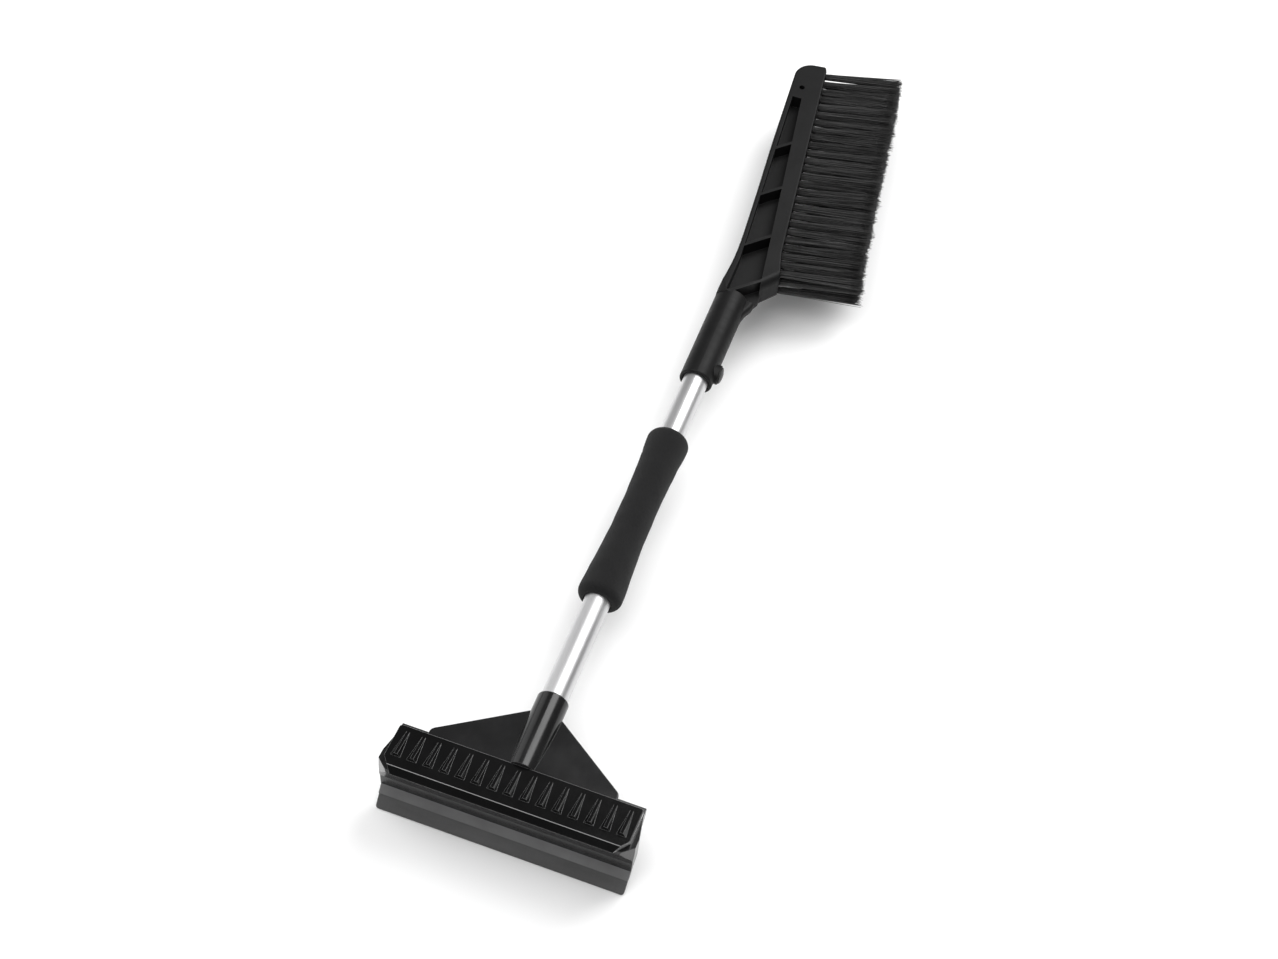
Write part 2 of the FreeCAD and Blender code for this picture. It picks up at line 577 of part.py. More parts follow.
def corner_cut(side):
    first, second, third = [V(side * p.x, p.y, p.z) for p in BLADE_CORNER]
    outward = (second - first).cross(third - first)
    outward.normalize()
    if outward.x * side < 0:
        outward = outward * -1
    along = second - first
    along.normalize()
    across = outward.cross(along)
    square = [first + along * a + across * b for a, b in ((-40, -40), (40, -40), (40, 40), (-40, 40))]
    return polygon_face(square).extrude(outward * 30)


def ice_blade():
    back_foot = blade_back(BLADE_BROW)
    back_top = blade_back(BLADE_CREST)
    heel = mix(back_foot, back_top, 0.03)
    blank = section_across([BLADE_CREST, BLADE_BROW, BLADE_EDGE, heel, back_top], BLADE_HALF_WIDTH)
    top_corners = [e for e in blank.Edges if e.BoundBox.XLength < 0.01 and e.BoundBox.YMax < BLADE_CREST.y + 0.01
                   and e.BoundBox.YMin > back_top.y - 0.01]
    blank = blank.makeFillet(BLADE_TOP_CORNER_R, top_corners)
    for side in (-1, 1):
        blank = blank.cut(corner_cut(side))
    crown = [e for e in blank.Edges if e.BoundBox.XLength > 190 and abs(e.BoundBox.YMin - BLADE_CREST.y) < 0.01]
    brow = [e for e in blank.Edges if e.BoundBox.XLength > 190 and abs(e.BoundBox.ZMax - BLADE_BROW.z) < 0.01]
    blank = blank.makeFillet(0.8, crown[:1] + brow[:1])
    first = -(RIDGE_COUNT - 1) / 2 * RIDGE_PITCH
    ridges = [ridge(first + index * RIDGE_PITCH) for index in range(RIDGE_COUNT)]
    return blank.fuse(ridges).cut(screw_ways(0.0)).removeSplitter()


def squeegee_strip():
    down, back = strip_frame()
    start = STRIP_TOP - down * 4
    length = (STRIP_FOOT - STRIP_TOP).Length
    near = back * 0.8
    far = back * STRIP_THICK
    section = [start + near, STRIP_TOP + near, STRIP_TOP, STRIP_FOOT, STRIP_FOOT + far, start + far]
    strip = section_across(section, STRIP_HALF_WIDTH)
    groove = [STRIP_FOOT + back * 1.4 - down * LIP_GRIP, STRIP_FOOT + back * 1.4 + down, STRIP_FOOT
              + back * (1.4 + LIP_THICK) + down, STRIP_FOOT + back * (1.4 + LIP_THICK) - down * LIP_GRIP]
    return strip.cut(section_across(groove, STRIP_HALF_WIDTH + 1))


def squeegee_lip():
    down, back = strip_frame()
    near = STRIP_FOOT + back * 1.4 - down * LIP_GRIP
    far = STRIP_FOOT + back * (1.4 + LIP_THICK) - down * LIP_GRIP
    front_foot = LIP_FOOT + back * 1.4
    back_foot = LIP_FOOT + back * 3.0 - down * 0.6
    shoulder_in = STRIP_FOOT + back * 1.4
    shoulder_out = STRIP_FOOT + back * (1.4 + LIP_THICK)
    tongue = section_across([near, shoulder_in, shoulder_out, far], STRIP_HALF_WIDTH)
    blade = section_across([shoulder_in, front_foot, back_foot, shoulder_out], LIP_HALF_WIDTH)
    corners = []
    for edge in blade.Edges:
        middle = edge.valueAt((edge.FirstParameter + edge.LastParameter) / 2)
        if edge.BoundBox.XLength < 0.01 and middle.z < LIP_FOOT.z + 1.2:
            corners.append(edge)
    blade = blade.makeFillet(LIP_CORNER_R, corners)
    return tongue.fuse(blade).removeSplitter()


def blade_screws():
    seat, up = screw_frame()
    screws = []
    for x in SCREW_X:
        start = V(x, seat.y, seat.z)
        shank = disc_rod(SCREW_R, start, up, SCREW_LENGTH)
        head = disc_rod(SCREW_HEAD_R, start, up * -1, SCREW_HEAD_T)
        cross = [Part.makeBox(4.0, 0.9, 1.2, V(-2.0, -0.45, 0)), Part.makeBox(0.9, 4.0, 1.2, V(-0.45, -2.0, 0))]
        turn = FreeCAD.Rotation(Z_AXIS, up * -1)
        for bar in cross:
            bar.Placement = FreeCAD.Placement(start - up * (SCREW_HEAD_T - 1.1), turn)
        screws.append(shank.fuse(head).cut(cross[0].fuse(cross[1])).removeSplitter())
    return Part.makeCompound(screws)


def socket_rivet():
    shank = disc_rod(RIVET_R, V(0, RIVET_Y, -FOOT_R - 0.05), Z_AXIS, 2 * FOOT_R - 1.5)
    head = disc_rod(RIVET_HEAD_R, V(0, RIVET_Y, -FOOT_R - RIVET_HEAD_T), Z_AXIS, RIVET_HEAD_T + 0.4)
    return shank.fuse(head).removeSplitter()


def build_all():
    shapes = {
        "brush_body": brush_body(),
        "tuft_staples": tuft_staples(),
        "release_button": release_button(),
        "snap_pin": snap_pin(),
        "snap_spring": snap_spring(),
        "handle_tube": handle_tube(),
        "tube_end_plug": tube_plug(TUBE_TOP_Y, 1),
        "tube_foot_plug": tube_plug(TUBE_FOOT_Y, -1),
        "foam_grip": foam_grip(),
        "scraper_head": scraper_head(),
        "ice_blade": ice_blade(),
        "squeegee_strip": squeegee_strip(),
        "squeegee_lip": squeegee_lip(),
        "blade_screws": blade_screws(),
        "socket_rivet": socket_rivet(),
    }
    for row in range(ROWS):
        shapes["bristle_row_%d" % (row + 1)] = bristle_row(row)
    return shapes


def rest_shift(shapes):
    box = Part.makeCompound(list(shapes.values())).optimalBoundingBox(False)
    return V(-(box.XMin + box.XMax) / 2, -(box.YMin + box.YMax) / 2, -box.ZMin)


def write_parts():
    os.makedirs("parts", exist_ok=True)
    shapes = build_all()
    shift = rest_shift(shapes)
    print("shift", shift.x, shift.y, shift.z)
    for name, shape in shapes.items():
        shape.translate(shift)
        shape.exportStep("parts/%s.step" % name)
        print(name, "solids", len(shape.Solids), "valid", shape.isValid(), "volume", round(shape.Volume, 1))


write_parts()
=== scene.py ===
import math

import bpy
import numpy as np
from mathutils import Matrix, Vector


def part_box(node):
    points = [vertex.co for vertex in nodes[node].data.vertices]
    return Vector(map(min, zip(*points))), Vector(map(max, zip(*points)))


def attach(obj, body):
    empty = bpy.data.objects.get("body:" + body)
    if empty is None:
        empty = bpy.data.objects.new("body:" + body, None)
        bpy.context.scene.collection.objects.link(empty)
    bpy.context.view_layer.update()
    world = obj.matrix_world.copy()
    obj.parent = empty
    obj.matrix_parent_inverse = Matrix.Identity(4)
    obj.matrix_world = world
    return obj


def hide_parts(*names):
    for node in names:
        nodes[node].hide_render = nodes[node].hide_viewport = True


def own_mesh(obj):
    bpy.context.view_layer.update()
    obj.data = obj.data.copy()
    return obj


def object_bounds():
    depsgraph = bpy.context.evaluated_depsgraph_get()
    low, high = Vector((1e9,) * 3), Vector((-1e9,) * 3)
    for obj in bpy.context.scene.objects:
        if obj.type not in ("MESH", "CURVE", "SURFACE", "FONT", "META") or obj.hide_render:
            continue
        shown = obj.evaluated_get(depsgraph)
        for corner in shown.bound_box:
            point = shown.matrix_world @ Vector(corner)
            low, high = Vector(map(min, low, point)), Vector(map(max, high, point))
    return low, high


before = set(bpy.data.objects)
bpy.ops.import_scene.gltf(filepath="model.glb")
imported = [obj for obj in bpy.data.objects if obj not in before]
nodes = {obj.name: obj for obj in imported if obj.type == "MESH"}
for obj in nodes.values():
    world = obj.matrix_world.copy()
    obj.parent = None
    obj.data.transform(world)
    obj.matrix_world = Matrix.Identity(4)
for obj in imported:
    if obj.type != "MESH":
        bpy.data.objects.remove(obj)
cad_low, cad_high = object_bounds()

MM = 0.001
tube_low, tube_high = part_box("handle_tube")
AXIS_X = (tube_low.x + tube_high.x) / 2
AXIS_Z = (tube_low.z + tube_high.z) / 2
TUBE_R = (tube_high.x - tube_low.x) / 2
TUBE_TOP = 200.0
HANDLE_Y = tube_high.y - TUBE_TOP * MM


# ---------------------------------------------------------------- shader helpers

class Shader:
    """A material with a Principled shader and short calls for its nodes."""

    def __init__(self, name, color, roughness, **sockets):
        self.material = bpy.data.materials.new(name)
        self.material.use_nodes = True
        self.tree = self.material.node_tree
        self.body = self.tree.nodes["Principled BSDF"]
        self.body.inputs["Base Color"].default_value = (*color, 1)
        self.body.inputs["Roughness"].default_value = roughness
        for key, value in sockets.items():
            self.body.inputs[key.replace("_", " ")].default_value = value
        self.coords = self.tree.nodes.new("ShaderNodeTexCoord").outputs["Object"]

    def node(self, kind, **settings):
        made = self.tree.nodes.new(kind)
        for key, value in settings.items():
            setattr(made, key, value)
        return made

    def link(self, source, target):
        self.tree.links.new(source, target)

    def stretched(self, scale):
        mapping = self.node("ShaderNodeMapping")
        mapping.inputs["Scale"].default_value = scale
        self.link(self.coords, mapping.inputs["Vector"])
        return mapping.outputs["Vector"]

    def noise(self, scale, detail=2.0, roughness=0.5, distortion=0.0):
        tex = self.node("ShaderNodeTexNoise")
        tex.inputs["Scale"].default_value = 1.0
        tex.inputs["Detail"].default_value = detail
        tex.inputs["Roughness"].default_value = roughness
        tex.inputs["Distortion"].default_value = distortion
        size = scale if isinstance(scale, tuple) else (scale, scale, scale)
        self.link(self.stretched(size), tex.inputs["Vector"])
        return tex.outputs["Fac"]

    def cells(self, scale, feature="F1"):
        tex = self.node("ShaderNodeTexVoronoi", feature=feature)
        tex.inputs["Scale"].default_value = 1.0
        self.link(self.stretched((scale, scale, scale)), tex.inputs["Vector"])
        return tex.outputs["Distance"]

    def ramp(self, source, low, high, out_low, out_high):
        made = self.node("ShaderNodeMapRange")
        made.inputs["From Min"].default_value = low
        made.inputs["From Max"].default_value = high
        made.inputs["To Min"].default_value = out_low
        made.inputs["To Max"].default_value = out_high
        self.link(source, made.inputs["Value"])
        return made.outputs["Result"]

    def blend_colors(self, fac, first, second):
        made = self.node("ShaderNodeMix", data_type="RGBA")
        self.link(fac, made.inputs["Factor"])
        for socket, value in ((made.inputs[6], first), (made.inputs[7], second)):
            if isinstance(value, tuple):
                socket.default_value = (*value, 1)
            else:
                self.link(value, socket)
        return made.outputs[2]

    def math(self, operation, first, second):
        made = self.node("ShaderNodeMath", operation=operation)
        for socket, value in zip(made.inputs, (first, second)):
            if isinstance(value, (int, float)):
                socket.default_value = value
            else:
                self.link(value, socket)
        return made.outputs[0]

    def bump(self, height, distance, strength=1.0, under=None):
        made = self.node("ShaderNodeBump")
        made.inputs["Strength"].default_value = strength
        made.inputs["Distance"].default_value = distance
        self.link(height, made.inputs["Height"])
        if under is not None:
            self.link(under, made.inputs["Normal"])
        return made.outputs["Normal"]

    def soft_edge(self, radius):
        made = self.node("ShaderNodeBevel", samples=4)
        made.inputs["Radius"].default_value = radius
        return made.outputs["Normal"]

    def edge_mask(self, radius, flat=0.985, sharp=0.86):
        """One where the surface turns sharply within the radius, nothing on flat ground."""
        rounded = self.node("ShaderNodeBevel", samples=6)
        rounded.inputs["Radius"].default_value = radius
        dot = self.node("ShaderNodeVectorMath", operation="DOT_PRODUCT")
        self.link(rounded.outputs["Normal"], dot.inputs[0])
        face = self.node("ShaderNodeNewGeometry").outputs["True Normal"]
        self.link(face, dot.inputs[1])
        return self.ramp(dot.outputs["Value"], sharp, flat, 1.0, 0.0)

    def facing_y(self, bevel=None):
        """How far the surface, or the bevelled surface, looks along Y."""
        if bevel is None:
            bevel = self.node("ShaderNodeNewGeometry").outputs["True Normal"]
        split = self.node("ShaderNodeSeparateXYZ")
        self.link(bevel, split.inputs[0])
        return split.outputs["Y"]

    def window(self, source, low, high, blur):
        """One between low and high, with soft ends."""
        rise = self.ramp(source, low - blur, low + blur, 0.0, 1.0)
        fall = self.ramp(source, high - blur, high + blur, 1.0, 0.0)
        return self.math("MULTIPLY", rise, fall)

    def set(self, name, source):
        self.link(source, self.body.inputs[name])


# bump heights in metres, and how much paler a rubbed edge of moulded plastic is
WAVE_DEPTH = 0.0002
GRAIN_DEPTH = 0.00004
DRAW_DEPTH = 0.00002
MOULDED_RUB = 0.03

# how far a face of the blade looks along Y: the brow and the crest get a painted highlight,
# the square ends of the ribs get none, as light from above would leave them unlit
BROW_FACES = (-0.62, 0.08)
CREST_FACES = (0.42, 0.9)
RIB_END_FACES = (-0.95, -0.88)
RIB_END_CURVE = (-0.7, -0.05)
FACE_BLUR = 0.03


def moulded_plastic(name, color, roughness, edge=0.0004, **sockets):
    """Injection-moulded plastic: fine grain, slow colour drift, faint scuffs, paler edges."""
    made = Shader(name, color, roughness, **sockets)
    drift = made.noise(35.0, 3.0)
    lighter = tuple(c * 1.9 + 0.003 for c in color)
    base = made.blend_colors(made.ramp(drift, 0.3, 0.75, 0.0, 0.45), color, lighter)
    worn = tuple(c + MOULDED_RUB for c in color)
    base = made.blend_colors(made.edge_mask(edge * 1.5), base, worn)
    made.set("Base Color", base)
    scuff = made.noise((60.0, 340.0, 60.0), 5.0, 0.7)
    made.set("Roughness", made.ramp(scuff, 0.35, 0.75, roughness - 0.05, roughness + 0.1))
    fine = made.noise(2600.0, 2.0, 0.6)
    slow = made.noise(90.0, 1.0)
    normal = made.bump(slow, WAVE_DEPTH, 0.35, made.soft_edge(edge))
    made.set("Normal", made.bump(fine, GRAIN_DEPTH, 0.6, normal))
    return made.material


def gloss_plastic(name, color, roughness, edge=0.0005, painted_edge_highlight=0.05, blade=False, **sockets):
    """Polished plastic with slight ripple and hairline scratches, and a painted highlight along
    its sharp edges; a blade also gets painted highlights on its brow and crest, none on its rib
    ends.
    """
    made = Shader(name, color, roughness, **sockets)
    drift = made.noise(25.0, 3.0)
    lighter = tuple(c * 1.7 + 0.002 for c in color)
    base = made.blend_colors(made.ramp(drift, 0.35, 0.7, 0.0, 0.5), color, lighter)
    # painted highlight: sharp edges are made paler in the colour
    mask = made.edge_mask(edge)
    if blade:
        # painted highlight on the blade: the rib ends are left out and the brow and crest put in,
        # by which way they face
        end_faces = made.ramp(made.facing_y(), *RIB_END_FACES, 1.0, 0.0)
        end_curve = made.window(made.facing_y(made.soft_edge(edge)), *RIB_END_CURVE, FACE_BLUR)
        rib_ends = made.math("MAXIMUM", end_faces, end_curve)
        mask = made.math("MULTIPLY", mask, made.math("SUBTRACT", 1.0, rib_ends))
        brow = made.window(made.facing_y(), *BROW_FACES, FACE_BLUR)
        crest = made.window(made.facing_y(), *CREST_FACES, FACE_BLUR)
        mask = made.math("MAXIMUM", mask, made.math("MAXIMUM", brow, crest))
    # the painted highlight takes the pale grey given for the edges
    made.set("Base Color", made.blend_colors(mask, base, (painted_edge_highlight, painted_edge_highlight, painted_edge_highlight)))
    hair = made.noise((900.0, 40.0, 300.0), 4.0, 0.75, 0.4)
    smudge = made.noise(55.0, 4.0, 0.6)
    scratched = made.ramp(hair, 0.45, 0.85, 0.0, 0.05)
    smeared = made.ramp(smudge, 0.4, 0.75, roughness, roughness + 0.06)
    made.set("Roughness", made.math("ADD", scratched, smeared))
    made.set("Normal", made.bump(made.noise(60.0, 1.0), WAVE_DEPTH, 0.06, made.soft_edge(edge)))
    return made.material


def drawn_aluminium():
    """Satin anodised tube with lengthwise die lines."""
    made = Shader("drawn_aluminium", (0.55, 0.55, 0.555), 0.4, Metallic=1.0)
    lines = made.noise((2400.0, 6.0, 2400.0), 3.0, 0.6)
    cloud = made.noise((30.0, 14.0, 30.0), 3.0)
    share = made.ramp(lines, 0.3, 0.7, 0.0, 1.0)
    made.set("Base Color", made.blend_colors(share, (0.58, 0.58, 0.585), (0.67, 0.67, 0.675)))
    lined = made.ramp(lines, 0.3, 0.7, 0.36, 0.44)
    clouded = made.ramp(cloud, 0.4, 0.7, 0.0, 0.06)
    made.set("Roughness", made.math("ADD", lined, clouded))
    made.set("Normal", made.bump(lines, DRAW_DEPTH, 0.5))
    return made.material


def foam_material():
    """Foam sleeve: cells a few tenths of a millimetre across, dull all over."""
    made = Shader("grip_foam_skin", (0.006, 0.006, 0.0062), 0.92, Specular_IOR_Level=0.12)
    cell = made.cells(1700.0)
    coarse = made.noise(240.0, 4.0, 0.7)
    patch = made.noise(28.0, 3.0)
    share = made.ramp(cell, 0.1, 0.6, 0.0, 1.0)
    tone = made.blend_colors(share, (0.0025, 0.0025, 0.0025), (0.011, 0.011, 0.0114))
    worn = made.ramp(patch, 0.35, 0.7, 0.0, 0.4)
    made.set("Base Color", made.blend_colors(worn, tone, (0.013, 0.013, 0.0134)))
    made.body.inputs["Sheen Weight"].default_value = 0.06
    made.body.inputs["Sheen Roughness"].default_value = 0.6
    normal = made.bump(coarse, 0.0003, 0.5)
    made.set("Normal", made.bump(cell, 0.00022, 0.9, normal))
    return made.material


def rubber_material():
    """Smooth rubber with soft clouding, and drag lines along the wiping edge."""
    made = Shader("squeegee_rubber", (0.052, 0.052, 0.052), 0.55, Specular_IOR_Level=0.35)
    cloud = made.noise((14.0, 60.0, 60.0), 4.0, 0.6)
    share = made.ramp(cloud, 0.3, 0.7, 0.0, 1.0)
    made.set("Base Color", made.blend_colors(share, (0.058, 0.058, 0.058), (0.085, 0.085, 0.086)))
    drag = made.noise((500.0, 20.0, 20.0), 3.0)
    made.set("Roughness", made.ramp(drag, 0.3, 0.7, 0.48, 0.64))
    made.set("Normal", made.bump(made.noise(700.0, 3.0), GRAIN_DEPTH, 0.5, made.soft_edge(0.0003)))
    return made.material


def steel_material(name, color, roughness):
    """Drawn or turned metal with fine streaks."""
    made = Shader(name, color, roughness, Metallic=1.0)
    streak = made.noise((700.0, 700.0, 60.0), 3.0)
    made.set("Roughness", made.ramp(streak, 0.3, 0.7, roughness - 0.06, roughness + 0.1))
    made.set("Normal", made.bump(streak, DRAW_DEPTH, 0.4))
    return made.material


def bristle_material():
    """Crimped nylon filament: each one a slightly different black, with a soft waxy shine."""
    made = Shader("bristle_filament", (0.008, 0.008, 0.008), 0.42, Specular_IOR_Level=0.4)
    shade = made.node("ShaderNodeAttribute", attribute_name="shade").outputs["Fac"]
    # the shade attribute is each filament's own tone, with painted shadow near the root
    made.set("Base Color", made.blend_colors(shade, (0.003, 0.003, 0.003), (0.06, 0.06, 0.06)))
    grain = made.noise(500.0, 3.0)
    made.set("Roughness", made.ramp(grain, 0.3, 0.7, 0.34, 0.5))
    return made.material


# ---------------------------------------------------------------- soft pieces

def mesh_object(name, verts, faces, smooth=True):
    mesh = bpy.data.meshes.new(name)
    mesh.from_pydata([tuple(v) for v in verts], [], faces)
    mesh.validate()
    if smooth:
        mesh.shade_smooth()
    made = bpy.data.objects.new(name, mesh)
    bpy.context.scene.collection.objects.link(made)
    return made


# the grip's radius in millimetres at shares of its length, from its foot to its top
GRIP_KNOTS = (0.0, 0.045, 0.12, 0.24, 0.37, 0.53, 0.70, 0.83, 0.93, 0.96, 1.0)
GRIP_RADII = (18.7, 19.0, 18.6, 17.0, 15.8, 15.4, 15.8, 16.7, 18.2, 18.3, 18.0)
GRIP_END_ROUND = 7.2
GRIP_BLEND = 31
SWELLS = 14
DENT_AT = 0.865
DENT_WIDTH = 0.012
DENT_DEPTH = 0.35
# the flat ends of the grip: how far in, and the share of the outer radius
GRIP_END_STEPS = ((0.1, 0.985), (0.5, 0.93))
GRIP_END_DEPTH = 1.6
TUBE_GAP = 0.05


def foam_profile(count):
    """Radius of the grip at evenly spaced stations, with its knots smoothed out."""
    low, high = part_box("foam_grip")
    share = np.linspace(0, 1, count)
    radius = np.interp(share, GRIP_KNOTS, GRIP_RADII) * MM
    kernel = np.hanning(GRIP_BLEND)
    padded = np.pad(radius, GRIP_BLEND // 2, mode="edge")
    radius = np.convolve(padded, kernel / kernel.sum(), mode="valid")
    return low.y, high.y - low.y, share, radius


def ring_points(radii, angle, y):
    """One ring around the tube's axis."""
    return [(AXIS_X + r * math.cos(a), y, AXIS_Z + r * math.sin(a)) for r, a in zip(radii, angle)]


def build_foam_grip():
    """The foam sleeve, made ring by ring, with uneven swelling and rounded ends."""
    rings, around = 220, 160
    foot_y, length, share, radius = foam_profile(rings)
    rng = np.random.default_rng(11)
    y = foot_y + share * length
    from_end = np.minimum(share, 1 - share) * length
    bend = GRIP_END_ROUND * MM
    inside = np.clip(1 - from_end / bend, 0, 1)
    radius = radius - bend * (1 - np.sqrt(1 - inside ** 2)) * 0.93
    angle = np.linspace(0, 2 * math.pi, around, endpoint=False)
    swell = np.zeros((rings, around))
    for _ in range(SWELLS):
        turns = rng.integers(1, 7)
        waves = rng.uniform(1, 11)
        phase, lift = rng.uniform(0, 2 * math.pi, 2)
        size = rng.uniform(0.02, 0.07) * MM
        along = np.sin(waves * share * math.pi * 2 + phase)
        swell += size * np.outer(along, np.cos(turns * angle + lift))
    dent = np.exp(-((share - DENT_AT) / DENT_WIDTH) ** 2)
    side = np.clip(np.cos(angle - math.pi), 0, 1) ** 2
    swell -= DENT_DEPTH * MM * np.outer(dent, side)
    full = radius[:, None] + swell * np.clip(from_end / bend, 0, 1)[:, None]
    verts = []
    for i in range(rings):
        verts += ring_points(full[i], angle, y[i])
    faces = []
    for i in range(rings - 1):
        for j in range(around):
            k = (j + 1) % around
            here, above = i * around, (i + 1) * around
            faces.append((here + j, here + k, above + k, above + j))
    for ring, direction in ((0, 1), (rings - 1, -1)):
        edge = [ring * around + j for j in range(around)]
        steps = [(depth, full[ring].mean() * share_out) for depth, share_out in GRIP_END_STEPS]
        for depth, lip in steps + [(GRIP_END_DEPTH, TUBE_R + TUBE_GAP * MM)]:
            fresh = list(range(len(verts), len(verts) + around))
            verts += ring_points([lip] * around, angle, y[ring] + direction * depth * MM)
            for j in range(around):
                k = (j + 1) % around
                quad = (edge[j], edge[k], fresh[k], fresh[j])
                faces.append(quad if direction < 0 else quad[::-1])
            edge = fresh
    foam = mesh_object("foam_grip_skin", verts, faces)
    foam.data.materials.append(foam_material())
    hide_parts("foam_grip")
    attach(foam, "handle")


# lengths are in millimetres and angles in degrees
TUFTS = (26, 25, 26, 25, 26)
ROWS = len(TUFTS)
ROW_SPACING = 5.4
FIRST_Y, LAST_Y = 503.9, 254.4
BAR_EDGE_Y = (247.5, 277.0, 508.5)
BAR_EDGE_X = (33.9, 26.4, -3.4)
FIRST_LEAN, LEAN_DROP = 14.8, 1.9
TUFT_LENGTH, TUFT_FOOT_GAIN = 71.8, 1.7
ROOT_R = 2.85
SINK = 3.0
FILAMENTS = 120
FILAMENT_R = 0.26
FILAMENT_SIDES = 3
CLUMPS = 8
STRAYS = 5
# across the tuft and towards the front: how the tips spread, each clump's own share,
# how far a tip may go, and the extra spread of a stray
TIP_SPREAD = np.array([1.45, 1.35])
CLUMP_SPREAD = np.array([1.15, 0.85])
TIP_LIMIT = np.array([6.6, 5.0])
STRAY_SPREAD = np.array([1.5, 1.0])
# shares of a filament's length, and how bright its colour is there: near black at the root as
# painted shadow of the bar, a little darker at the tip
STATIONS = np.array([0.0, 0.058, 0.1, 0.2, 0.4, 0.62, 0.83, 1.0])
PAINTED_ROOT_SHADOW = np.array([0.0, 0.1, 0.8, 1.0, 1.0, 1.0, 1.0, 0.9])


def tuft_axis(row, index, rng):
    """Root, direction and length of one tuft, from HANDLE_Y on the tube's axis."""
    step = index + (0.5 if row % 2 else 0.0)
    part = step / (TUFTS[0] - 1)
    y = FIRST_Y + (LAST_Y - FIRST_Y) * part
    x = np.interp(y, BAR_EDGE_Y, BAR_EDGE_X)
    root = np.array([x, y, (row - (ROWS - 1) / 2) * ROW_SPACING])
    lean = math.radians(FIRST_LEAN - LEAN_DROP * part + rng.normal(0, 0.6))
    length = TUFT_LENGTH + TUFT_FOOT_GAIN * part - math.exp(-step) + rng.normal(0, 0.5)
    return root, np.array([math.cos(lean), math.sin(lean), rng.normal(0, 0.006)]), length


def filament_path(rng, start, tip, reach):
    """Sideways offsets and forward travel of one filament.

    It swells a little out of its hole and then runs nearly straight.
    """
    curl = rng.normal(0, 0.35, 2)
    phase = rng.uniform(0, 2 * math.pi)
    bow = 0.06 * np.exp(-((STATIONS - 0.1) / 0.055) ** 2)
    spread = STATIONS ** 0.95
    wave = np.sin(phase + 5.5 * STATIONS) * STATIONS
    off = np.outer(1 + bow - spread, start) + np.outer(spread, tip) + np.outer(wave, curl)
    return off, reach * STATIONS - SINK * (1 - STATIONS)


def build_bristle_row(row, material):
    """One row of tufts, each of them a bundle of closed filaments."""
    rng = np.random.default_rng(100 + row)
    sides = FILAMENT_SIDES
    rings = len(STATIONS)
    turn = np.arange(sides) * 2 * math.pi / sides
    taper = 1.0 - 0.4 * np.clip((STATIONS - 0.85) / 0.15, 0, 1)
    up = np.array([0.0, 0.0, 1.0])
    verts, faces, shades = [], [], []
    for index in range(TUFTS[row]):
        root, along, length = tuft_axis(row, index, rng)
        side = np.array([-along[1], along[0], 0.0])
        spoke = np.outer(np.cos(turn), side) + np.outer(np.sin(turn), up)
        tuft_shade = rng.uniform(0.36, 0.52)
        clumps = rng.normal(0, 1, (CLUMPS, 4))
        for count in range(FILAMENTS):
            r = math.sqrt(rng.uniform(0, 1)) * ROOT_R
            a = rng.uniform(0, 2 * math.pi)
            start = np.array([r * math.cos(a), r * math.sin(a)])
            clump = clumps[rng.integers(0, CLUMPS)]
            tip = start * TIP_SPREAD + clump[:2] * CLUMP_SPREAD + rng.normal(0, 0.45, 2)
            tip = np.clip(tip, -TIP_LIMIT, TIP_LIMIT)
            reach = length + 1.3 * clump[2] + rng.normal(0, 0.9) - abs(rng.normal(0, 1.4))
            if count < STRAYS and (index + row) % 2:
                reach += rng.uniform(0.5, 3.0)
                tip = tip * STRAY_SPREAD
            off, forward = filament_path(rng, start, tip, reach)
            girth = FILAMENT_R * rng.uniform(0.8, 1.15) * taper
            centre = root + along * forward[:, None] + side * off[:, :1] + up * off[:, 1:]
            first = len(verts) * rings * sides
            ring = centre[:, None, :] + spoke[None, :, :] * girth[:, None, None]
            verts.append(ring.reshape(-1, 3))
            shade = np.clip(tuft_shade + 0.12 * clump[3] + rng.normal(0, 0.28), 0, 1)
            # each filament's own tone, times the painted shadow near the root
            shades.append(np.repeat(shade * PAINTED_ROOT_SHADOW, sides))
            for i in range(rings - 1):
                for j in range(sides):
                    k = (j + 1) % sides
                    b = first + i * sides
                    faces.append((b + j, b + k, b + sides + k, b + sides + j))
            last = first + (rings - 1) * sides
            faces.append((last, last + 1, last + 2))
            faces.append((first + 2, first + 1, first))
    placed = np.concatenate(verts) * MM + np.array([AXIS_X, HANDLE_Y, AXIS_Z])
    made = mesh_object("bristles_row_%d" % (row + 1), placed.tolist(), faces)
    layer = made.data.attributes.new("shade", "FLOAT", "POINT")
    layer.data.foreach_set("value", np.concatenate(shades))
    made.data.materials.append(material)
    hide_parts("bristle_row_%d" % (row + 1))
    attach(made, "brush_head")


# ---------------------------------------------------------------- spring behind the snap pin

# outline of the strip in millimetres, from its low X side and its high Y end
SPRING_LINE = ((16.1, 0.0), (16.1, -9.9), (11.7, -38.65), (6.2, -41.6), (0.3, -32.9), (0.3, 0.0))
SPRING_HALF = 0.29
SPRING_ROUNDS = 3


def rounded_line(points, rounds):
    """The same line with its corners cut again and again, ends kept."""
    line = np.array(points, float)
    for _ in range(rounds):
        near = line[:-1] * 0.8 + line[1:] * 0.2
        far = line[:-1] * 0.2 + line[1:] * 0.8
        cut = np.stack([near, far], axis=1).reshape(-1, 2)
        line = np.concatenate([line[:1], cut, line[-1:]])
    return line


